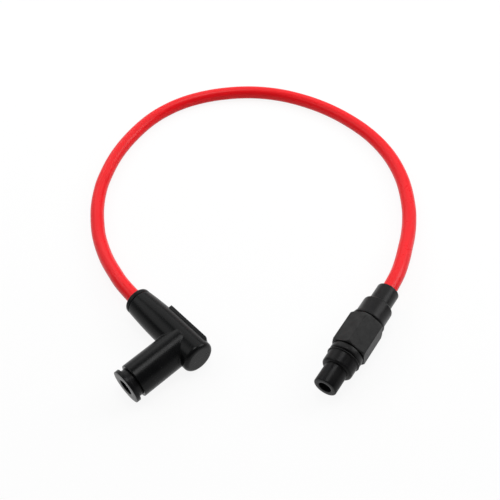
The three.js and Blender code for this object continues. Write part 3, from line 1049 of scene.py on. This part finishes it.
@dataclass
class Joiner:
    """The screw-together joiner: two rubber boots, the collar half and the hexagonal half.

    Heights are measured along its axis, from the nose.
    """

    boots: tuple[Boot, ...] = (
        Boot(
            name="joiner_coil_boot",
            node="coil_boot",
            lip_at=0.0,
            opening=Opening.FROM_NOSE,
            hole=3.3 * MM,
            cap_length=6.8 * MM,
            cone_length=0.15 * MM,
            flange_length=0.65 * MM,
            flange_ease=0.25 * MM,
        ),
        Boot(
            name="joiner_lead_boot",
            node="lead_boot",
            lip_at=JOINER_MOUTH,
            opening=Opening.TO_NOSE,
            hole=LEAD_HOLE,
            cap_length=8.9 * MM,
            cone_length=1.8 * MM,
            flange_length=1.5 * MM,
            flange_ease=0.6 * MM,
        ),
    )
    nipple_radius: float = 6.2 * MM
    collar_nipple_from: float = 13.0 * MM
    collar_radius: float = 8.5 * MM
    collar_from: float = 18.6 * MM
    collar_to: float = 22.2 * MM
    collar_cuts: Profile = ((0.8 * MM, 0), (0, 0.8 * MM))
    collar_edge: float = 0.35 * MM
    shank_radius: float = 5.8 * MM
    shank_to: float = 32.2 * MM
    hex_corner: float = JOINER_HEIGHT
    hex_from: float = 22.5 * MM
    hex_to: float = 42.0 * MM
    hex_ease: float = 0.9 * MM
    hex_nipple_from: float = 41.0 * MM
    hex_nipple_to: float = 52.2 * MM
    hex_voxel: float = 0.25 * MM
    hex_bores: tuple[Bore, ...] = (
        Bore(7.4 * MM, 21.5 * MM, 24.1 * MM),
        Bore(6.1 * MM, 21.5 * MM, JOINER_STOP),
        Bore(LEAD_HOLE, 34 * MM, 53 * MM),
    )

    def collar(self, workshop: Workshop) -> None:
        """The collar half: a nipple in the boot, the collar that shows, and a shank.

        Args:
            workshop: Where it is finished.
        """
        profile = [
            (LEAD_HOLE, self.shank_to), (LEAD_HOLE, self.collar_nipple_from),
            (self.nipple_radius, self.collar_nipple_from), (self.nipple_radius, self.collar_from),
            *Bench.eased(self.collar_radius, self.collar_from, self.collar_cuts),
            (self.collar_radius, self.collar_to), (self.shank_radius, self.collar_to),
            (self.shank_radius, self.shank_to),
        ]
        collar = Bench.turned("joiner_collar_half", profile)
        Bench.round_edges(collar, self.collar_edge)
        Bench.lay(collar, JOINER_PLACE @ ALONG_JOINER)
        workshop.finish(collar, TURNED_NYLON, ["joiner_collar"])

    def hexagon(self, workshop: Workshop) -> None:
        """The hexagonal half: a soft-edged bar with one edge up, its ends eased, and a nipple.

        Args:
            workshop: Where it is finished.
        """
        bpy.ops.object.select_all(action="DESELECT")
        low, high, wide, ease = self.hex_from, self.hex_to, self.hex_corner, self.hex_ease
        bpy.ops.mesh.primitive_cylinder_add(
            vertices=6, radius=wide, depth=high - low, location=(0, 0, (low + high) / 2)
        )
        body = Bench.named("joiner_hexagon")
        Bench.lay(body, body.matrix_basis.copy())
        envelope = Bench.turned("ends", [
            (0, low), (wide - ease, low), (wide, low + ease),
            (wide, high - ease), (wide - ease, high), (0, high),
        ])
        Bench.combine(body, envelope, Combine.SHARE)
        nipple = Bench.rod(
            "nipple", self.nipple_radius, self.hex_nipple_from, self.hex_nipple_to
        )
        Bench.combine(body, nipple, Combine.JOIN)
        Bench.flow(body, self.hex_voxel)
        for bore in self.hex_bores:
            bore.cut(body)
        Bench.lay(body, JOINER_PLACE @ ALONG_JOINER)
        workshop.finish(body, NYLON, ["joiner_hex_body"], crease=50)

    def build(self, workshop: Workshop) -> None:
        """Builds both boots and both halves.

        Args:
            workshop: Where they are finished.
        """
        for boot in self.boots:
            boot.build(workshop)
        self.collar(workshop)
        self.hexagon(workshop)


@dataclass
class InnerPieces:
    """The pieces out of sight, which keep their CAD shapes."""

    finishes: dict[str, Finish] = field(
        default_factory=lambda: {
            "lead_core": TINNED_COPPER,
            "contact_insert": BRASS,
            "wire_screw": BRASS,
            "contact_spring": SPRING_STEEL,
            "resistor_cup_inner": BRASS,
            "resistor": Ceramic(),
            "resistor_cup_outer": BRASS,
            "terminal_socket": BRASS,
            "wire_clip": SPRING_STEEL,
            "joiner_seal_ring": JOINER_RUBBER,
            "contact_pin": BRASS,
            "pin_carrier": NYLON,
        }
    )

    def build(self, workshop: Workshop, nodes: Mapping[str, bpy.types.Object]) -> None:
        """Gives each of them its material."""
        for name, finish in self.finishes.items():
            workshop.dress_node(nodes[name], finish)


@dataclass(frozen=True)
class SoftBox:
    """A flat soft lamp, turned to the middle of the object.

    Attributes:
        name: The lamp's name.
        place: Where its middle hangs.
        size: Its width and height.
        brightness: How bright its face looks, where 1 is white.
    """

    name: str
    place: Point
    size: tuple[float, float]
    brightness: float

    def hang(self) -> None:
        """Hangs the lamp, out of the camera's sight.

        The face of a lamp is as bright as a quarter of its power over its area.
        """
        light = bpy.data.lights.new(self.name, "AREA")
        light.shape = "RECTANGLE"
        light.size, light.size_y = self.size
        light.energy = 4 * self.brightness * self.size[0] * self.size[1]
        lamp = bpy.data.objects.new(self.name, light)
        bpy.context.scene.collection.objects.link(lamp)
        lamp.location = self.place
        lamp.rotation_euler = Vector(self.place).to_track_quat("Z", "Y").to_euler()
        lamp.visible_camera = False


@dataclass
class Studio:
    """The camera, the pale floor with its low wall in painted shade, and the soft lamps."""

    camera_place: Point = (0.1479, -0.1696, 0.3395)
    camera_right: Point = (0.8331, 0.5474, -0.0800)
    camera_up: Point = (-0.3791, 0.6703, 0.6379)
    camera_back: Point = (0.4028, -0.5011, 0.7659)
    lens: float = 56.74
    sensor: float = 36
    nearest: float = 0.01
    farthest: float = 50
    sky: float = 0.17
    floor_paint: Colour = (0.7, 0.7, 0.7)
    floor_glow: float = 0.9
    floor_reach: float = 1.6
    wall_reach: float = 2.2
    wall_height: float = 0.9
    # Painted shade: the wall is painted greyer as it rises, from white at the floor to this grey at
    # this height, for the light that falls off up the wall.
    painted_shade_height: float = 0.6
    wall_painted_shade: Colour = (0.3, 0.3, 0.3)
    lamps: tuple[SoftBox, ...] = (
        SoftBox("overhead", (-0.02, 0.17, 0.98), (0.42, 0.32), 4.3),
        SoftBox("left", (-0.66, -0.22, 0.72), (0.8, 0.5), 1.2),
        SoftBox("side", (-0.88, 0.2, 0.42), (0.7, 0.55), 0.5),
        SoftBox("far", (-0.05, 0.42, 0.38), (1.4, 0.46), 1.02),
        SoftBox("right", (0.50, 0.70, 0.5), (0.5, 0.5), 2.2),
    )

    def camera(self) -> None:
        """Stands the camera where the photograph was taken."""
        seen = bpy.data.cameras.new("camera")
        seen.lens = self.lens
        seen.sensor_width = self.sensor
        seen.clip_start, seen.clip_end = self.nearest, self.farthest
        camera = bpy.data.objects.new("camera", seen)
        bpy.context.scene.collection.objects.link(camera)
        columns = Matrix((self.camera_right, self.camera_up, self.camera_back)).transposed()
        camera.matrix_world = Matrix.Translation(self.camera_place) @ columns.to_4x4()
        bpy.context.scene.camera = camera

    @staticmethod
    def seen_directly(graph: Graph) -> Value:
        """1 for what the camera, a reflection or a clear piece shows, and 0 for its light.

        Args:
            graph: The graph that it is added to.

        Returns:
            That value.
        """
        path = graph.node("ShaderNodeLightPath")
        rays = ("Is Camera Ray", "Is Glossy Ray", "Is Transmission Ray")
        camera, glossy, through = (Value(graph, path.outputs[name]) for name in rays)
        return (camera + glossy + through).held()

    def pale_paint(self) -> bpy.types.Material:
        """White near the floor as it is seen, painted greyer up the wall as painted shade, with the
        object's soft shadow, and a plain pale paint as it lights.

        Returns:
            The material.
        """
        graph = Graph("pale_paint")
        rest = 1 - self.floor_glow
        # Painted shade: the seen colour greys with height up the wall, and the camera and
        # reflections in the pieces show that painted shade.
        rise = (graph.height() * (1 / self.painted_shade_height)).held()
        painted_shade_tone = graph.mix(rise, (1, 1, 1), self.wall_painted_shade)
        glow = graph.node("ShaderNodeEmission", inputs={"Color": painted_shade_tone, "Strength": self.floor_glow})
        shaded = graph.node("ShaderNodeBsdfDiffuse", inputs={"Color": (rest, rest, rest, 1)})
        pale = graph.node("ShaderNodeAddShader", inputs={0: shaded.outputs[0], 1: glow.outputs[0]})
        paint = graph.node("ShaderNodeBsdfDiffuse", inputs={"Color": (*self.floor_paint, 1)})
        mixed = graph.node(
            "ShaderNodeMixShader",
            inputs={0: self.seen_directly(graph), 1: paint.outputs[0], 2: pale.outputs[0]},
        )
        graph.node("ShaderNodeOutputMaterial", inputs={0: mixed.outputs[0]})
        return graph.material

    def sweep(self) -> None:
        """Lays a plain pale floor that curves up into a low wall all round, painted greyer with
        height as painted shade.
        """
        rise = self.wall_reach - self.floor_reach
        curve = Bench.arc((self.floor_reach, rise), rise, -QUARTER_TURN, steps=10)
        profile = [(0, 0), *curve, (self.wall_reach, self.wall_height)]
        sweep = Bench.turned("pale_sweep", profile, steps=64, closed=False)
        Bench.only(sweep)
        bpy.ops.object.shade_smooth()
        sweep.data.materials.append(self.pale_paint())

    def world(self) -> None:
        """Lights the room evenly and dimly."""
        world = bpy.data.worlds.new("room")
        world.use_nodes = True
        bpy.context.scene.world = world
        world.node_tree.nodes["Background"].inputs["Color"].default_value = (1, 1, 1, 1)
        world.node_tree.nodes["Background"].inputs["Strength"].default_value = self.sky

    def build(self) -> None:
        """Sets the sweep, the world, the lamps and the plain colour handling."""
        self.sweep()
        self.world()
        for lamp in self.lamps:
            lamp.hang()
        bpy.context.scene.view_settings.view_transform = "Standard"


def main() -> None:
    """Sets the camera and builds the lead, both end pieces, their insides and the studio."""
    logging.basicConfig(level=logging.INFO, format="%(name)s: %(message)s")
    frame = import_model()
    studio, workshop = Studio(), Workshop()
    studio.camera()
    Lead().build(workshop, frame["nodes"]["lead_core"])
    PlugCap().build(workshop)
    Joiner().build(workshop)
    InnerPieces().build(workshop, frame["nodes"])
    studio.build()


if __name__ == "__main__":
    main()
